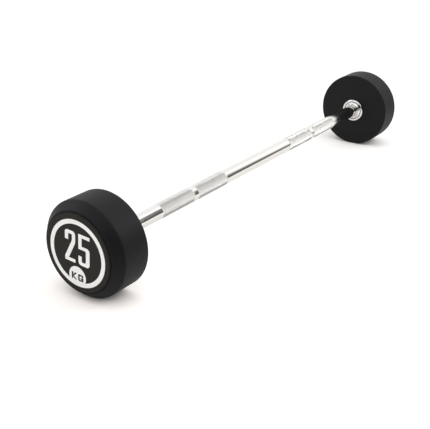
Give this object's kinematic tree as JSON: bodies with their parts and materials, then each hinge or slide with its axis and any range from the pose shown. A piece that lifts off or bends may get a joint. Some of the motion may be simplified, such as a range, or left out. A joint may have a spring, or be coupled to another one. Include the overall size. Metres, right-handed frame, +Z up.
{
  "type": "fixed barbell",
  "caption": "Straight fixed-weight barbell: chromed steel bar with four knurled grip zones between round rubber-covered iron heads.",
  "frame": {"origin": "middle of the bar, on its axis", "axes": "+X along the bar from the left head to the right head, +Z up, with the white number on each cap upright"},
  "size_m": [1.105, 0.1796, 0.1796],
  "materials": {
    "bar_chrome": "bright chrome plate, knurled in four zones",
    "collar_chrome": "bright chrome plate",
    "cover_rubber": "satin black moulded rubber",
    "cap_rubber": "satin black moulded rubber with a plain white ring and number",
    "core_iron": "rough cast, unpainted",
    "fastener_steel": "zinc-plated steel"
  },
  "bodies": {
    "root": {"handle_bar": "bar_chrome", "left_head_core": "core_iron", "left_head_cover": "cover_rubber", "left_end_cap": "cap_rubber", "left_inner_collar": "collar_chrome", "left_retaining_screw": "fastener_steel", "left_lock_washer": "fastener_steel", "left_plain_washer": "fastener_steel", "left_drive_key": "fastener_steel", "right_head_core": "core_iron", "right_head_cover": "cover_rubber", "right_end_cap": "cap_rubber", "right_inner_collar": "collar_chrome", "right_retaining_screw": "fastener_steel", "right_lock_washer": "fastener_steel", "right_plain_washer": "fastener_steel", "right_drive_key": "fastener_steel"}
  },
  "joints": []
}
